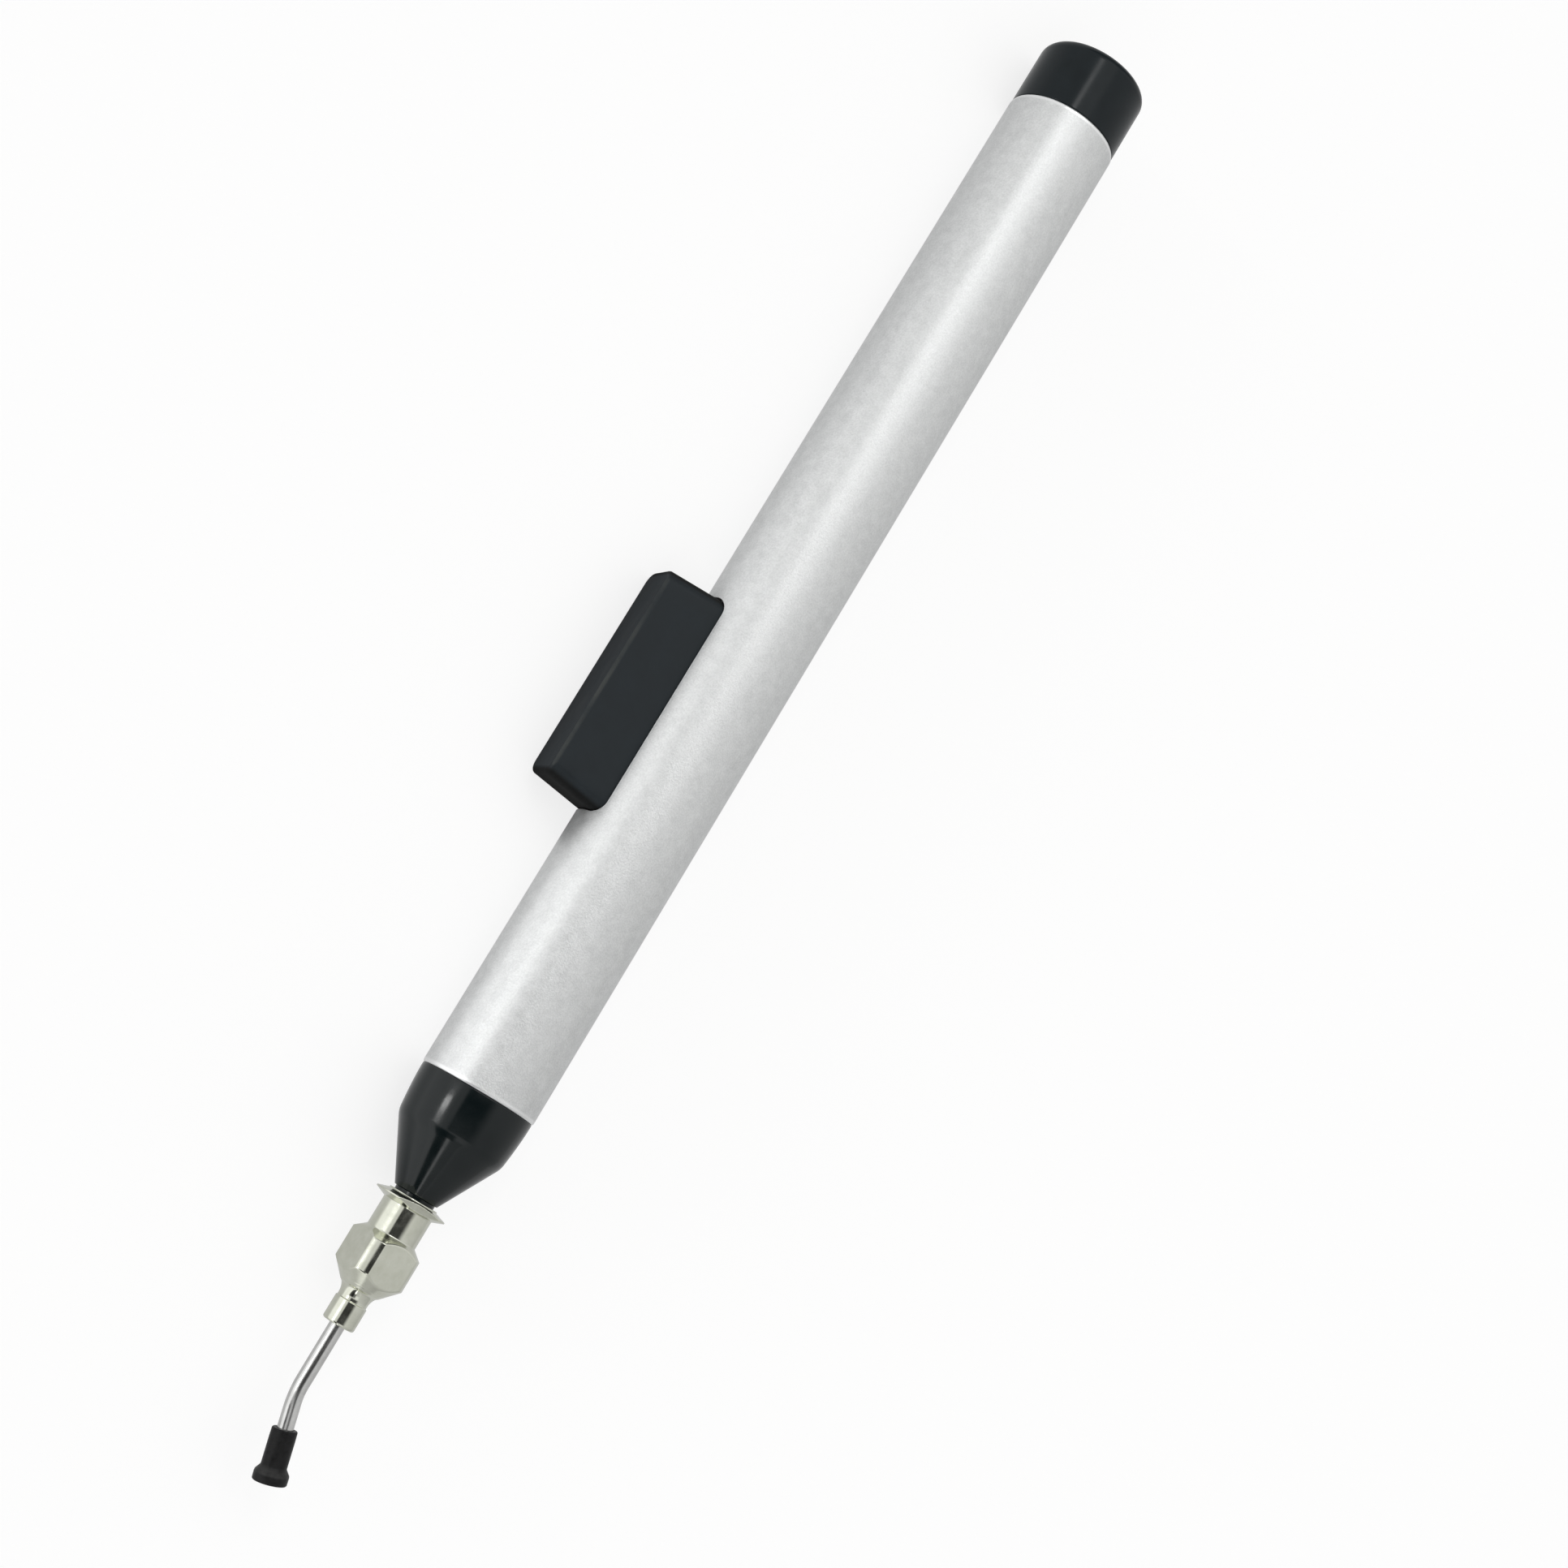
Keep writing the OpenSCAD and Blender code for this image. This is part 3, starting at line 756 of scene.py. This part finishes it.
make_barrel()
make_cap()
make_nose()
make_button()
make_hub()
make_tube()
make_cup()
make_bladder()
for name, material in (("press_plate", NYLON), ("bladder_plug", CAP_BLACK), ("front_ring", RING), ("rear_ring", RING)):
    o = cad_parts[name]
    o.data.materials.clear()
    o.data.materials.append(material)

# ---------------------------------------------------------------- floor, light and camera


def soft_step(nt, value, a, b):
    return span(nt, value, 0.0, 1.0, a, b, True)


def window(nt, value, lo, hi, soft):
    """1 between lo and hi, fading to 0 over soft on both sides."""
    rise = soft_step(nt, value, lo - soft, lo)
    fall = soft_step(nt, value, hi, hi + soft)
    return math_node(nt, "MULTIPLY", rise, math_node(nt, "SUBTRACT", 1.0, fall))


def make_world():
    """A pale studio: even light all round, a broad window low on the button's side, a soft box above the barrel, and a
    few dim screens."""
    w = bpy.data.worlds.new("studio")
    bpy.context.scene.world = w
    w.use_nodes = True
    nt = w.node_tree
    bg = nt.nodes["Background"]
    tc = nt.nodes.new("ShaderNodeTexCoord")
    xyz = nt.nodes.new("ShaderNodeSeparateXYZ")
    nt.links.new(tc.outputs["Generated"], xyz.inputs[0])
    across = math_node(nt, "MULTIPLY", math_node(nt, "ARCTAN2", xyz.outputs["Z"], xyz.outputs["Y"]), 180 / math.pi)
    along = math_node(nt, "MULTIPLY", math_node(nt, "ARCSINE", xyz.outputs["X"]), 180 / math.pi)

    def patch(lo, hi, soft, lo2, hi2, soft2):
        return math_node(nt, "MULTIPLY", window(nt, across, lo, hi, soft), window(nt, along, lo2, hi2, soft2))

    def times(v, k):
        return math_node(nt, "MULTIPLY", v, k)

    def less(v, k):
        return math_node(nt, "SUBTRACT", 1.0, times(v, k))

    # Even light that falls off slowly towards the far side, and more so in front of the needle.
    level = times(span(nt, across, 0.90, 0.62, 85, 180), span(nt, across, 0.86, 1.0, 40, 62, True))
    beyond = times(soft_step(nt, across, 78, 100), math_node(nt, "SUBTRACT", 1.0, soft_step(nt, along, -14, 15)))
    level = times(level, less(beyond, 0.29))
    # The broad window, the soft box above the barrel with a narrow lamp beside it, a small lamp in the window, and a narrow
    # one high in front of the needle.
    for light, power in ((patch(-25, 20, 10, -85, 6, 8), 0.46), (patch(61, 84, 10, 8, 60, 7), 0.36),
                         (patch(61, 84, 10, 8, 20, 8), 0.2),
                         (patch(50.5, 55, 3.5, 20, 33, 5), 3.6), (patch(10, 18, 3, -7.5, -5.5, 1.2), 16.0),
                         (patch(48.5, 55, 4, -72, -44, 8), 1.6)):
        level = math_node(nt, "ADD", level, times(light, power))
    # Dim screens: high above the nose, in front of the needle and beyond the cap.
    high = times(soft_step(nt, across, 38, 43), math_node(nt, "SUBTRACT", 1.0, soft_step(nt, across, 82, 106)))
    high = times(high, times(soft_step(nt, along, -16, -8), math_node(nt, "SUBTRACT", 1.0, soft_step(nt, along, 3, 6))))
    level = times(level, less(high, 0.96))
    level = times(level, less(patch(20, 44, 6, -80, -22, 10), 0.93))
    level = times(level, less(patch(36, 60, 8, -42, -21, 5), 0.8))
    level = times(level, less(patch(60, 84, 6, -80, -38, 8), 0.35))
    level = times(level, less(soft_step(nt, along, 44, 60), 0.7))
    path = nt.nodes.new("ShaderNodeLightPath")
    mix = nt.nodes.new("ShaderNodeMix")
    mix.data_type = "FLOAT"
    nt.links.new(path.outputs["Is Camera Ray"], mix.inputs["Factor"])
    nt.links.new(level, mix.inputs[2])
    mix.inputs[3].default_value = 0.93
    bg.inputs["Color"].default_value = (1.0, 1.0, 0.995, 1)
    nt.links.new(mix.outputs[0], bg.inputs["Strength"])


def make_floor():
    me = bpy.data.meshes.new("floor")
    s, z = 6.0, -0.00002
    me.from_pydata([(-s, -s, z), (s, -s, z), (s, s, z), (-s, s, z)], [], [(0, 1, 2, 3)])
    o = bpy.data.objects.new("floor", me)
    bpy.context.scene.collection.objects.link(o)
    m, nt, b = new_material("pale_floor")
    out = nt.nodes["Material Output"]
    nt.nodes.remove(b)
    path = nt.nodes.new("ShaderNodeLightPath")
    seen = nt.nodes.new("ShaderNodeBsdfDiffuse")
    seen.inputs["Color"].default_value = (0.30, 0.30, 0.30, 1)
    glow = nt.nodes.new("ShaderNodeEmission")
    glow.inputs["Strength"].default_value = 0.768
    add = nt.nodes.new("ShaderNodeAddShader")
    nt.links.new(seen.outputs[0], add.inputs[0])
    nt.links.new(glow.outputs[0], add.inputs[1])
    # What the pen mirrors: the floor glows, with painted light that makes it brightest on the window's side in front of
    # the needle, and a painted shade beside the button and just ahead of it.
    xyz = nt.nodes.new("ShaderNodeSeparateXYZ")
    nt.links.new(coords(nt), xyz.inputs[0])
    x, y = xyz.outputs["X"], math_node(nt, "ADD", xyz.outputs["Y"], MID_Y / 1000)
    needle_end = math_node(nt, "SUBTRACT", 1.0, soft_step(nt, x, -0.03, 0.06))
    gain = math_node(nt, "ADD", 0.10, math_node(nt, "MULTIPLY", needle_end, 0.42))
    shine = math_node(nt, "ADD", 0.6, math_node(nt, "MULTIPLY", soft_step(nt, y, 0.009, 0.018), gain))
    beside = math_node(nt, "MULTIPLY", window(nt, x, -0.015, 0.012, 0.003), window(nt, y, 0.009, 0.017, 0.003))
    ahead = math_node(nt, "MULTIPLY", window(nt, x, -0.016, -0.013, 0.0015), window(nt, y, 0.001, 0.009, 0.0015))
    # Painted contact shadow: beside the button and ahead of its front end the floor's glow is darkened.
    painted_contact_shade = math_node(nt, "MAXIMUM", beside, ahead)
    shine = math_node(nt, "MULTIPLY", shine, math_node(nt, "SUBTRACT", 1.0, math_node(nt, "MULTIPLY", painted_contact_shade, 0.7)))
    other = nt.nodes.new("ShaderNodeEmission")
    nt.links.new(shine, other.inputs["Strength"])
    mix = nt.nodes.new("ShaderNodeMixShader")
    nt.links.new(path.outputs["Is Camera Ray"], mix.inputs[0])
    nt.links.new(other.outputs[0], mix.inputs[1])
    nt.links.new(add.outputs[0], mix.inputs[2])
    nt.links.new(mix.outputs[0], out.inputs["Surface"])
    m.cycles.emission_sampling = "NONE"
    me.materials.append(m)


def make_camera():
    e = math.radians(55.684)
    xn = np.array([-1.0, 0, 0])
    u = np.array([0, -math.sin(e), math.cos(e)])
    c = np.array([0, math.cos(e), math.sin(e)])
    right = -0.50065 * xn + 0.8544 * u + 0.13906 * c
    forward = -0.20477 * xn + 0.03919 * u - 0.97802 * c
    back = -forward / np.linalg.norm(forward)
    right -= (right @ back) * back
    right /= np.linalg.norm(right)
    up = np.cross(back, right)
    at = np.array([-0.054721, -MID_Y / 1000, BARREL_R / 1000]) + 0.260326 * c
    cam = bpy.data.cameras.new("camera")
    cam.sensor_width = 36
    cam.lens = 59.43
    cam.clip_start, cam.clip_end = 0.01, 20
    o = bpy.data.objects.new("camera", cam)
    bpy.context.scene.collection.objects.link(o)
    m = np.eye(4)
    m[:3, 0], m[:3, 1], m[:3, 2], m[:3, 3] = right, up, back, at
    o.matrix_world = Matrix(m.tolist())
    bpy.context.scene.camera = o


make_world()
make_floor()
make_camera()
bpy.context.scene.view_settings.view_transform = "Standard"
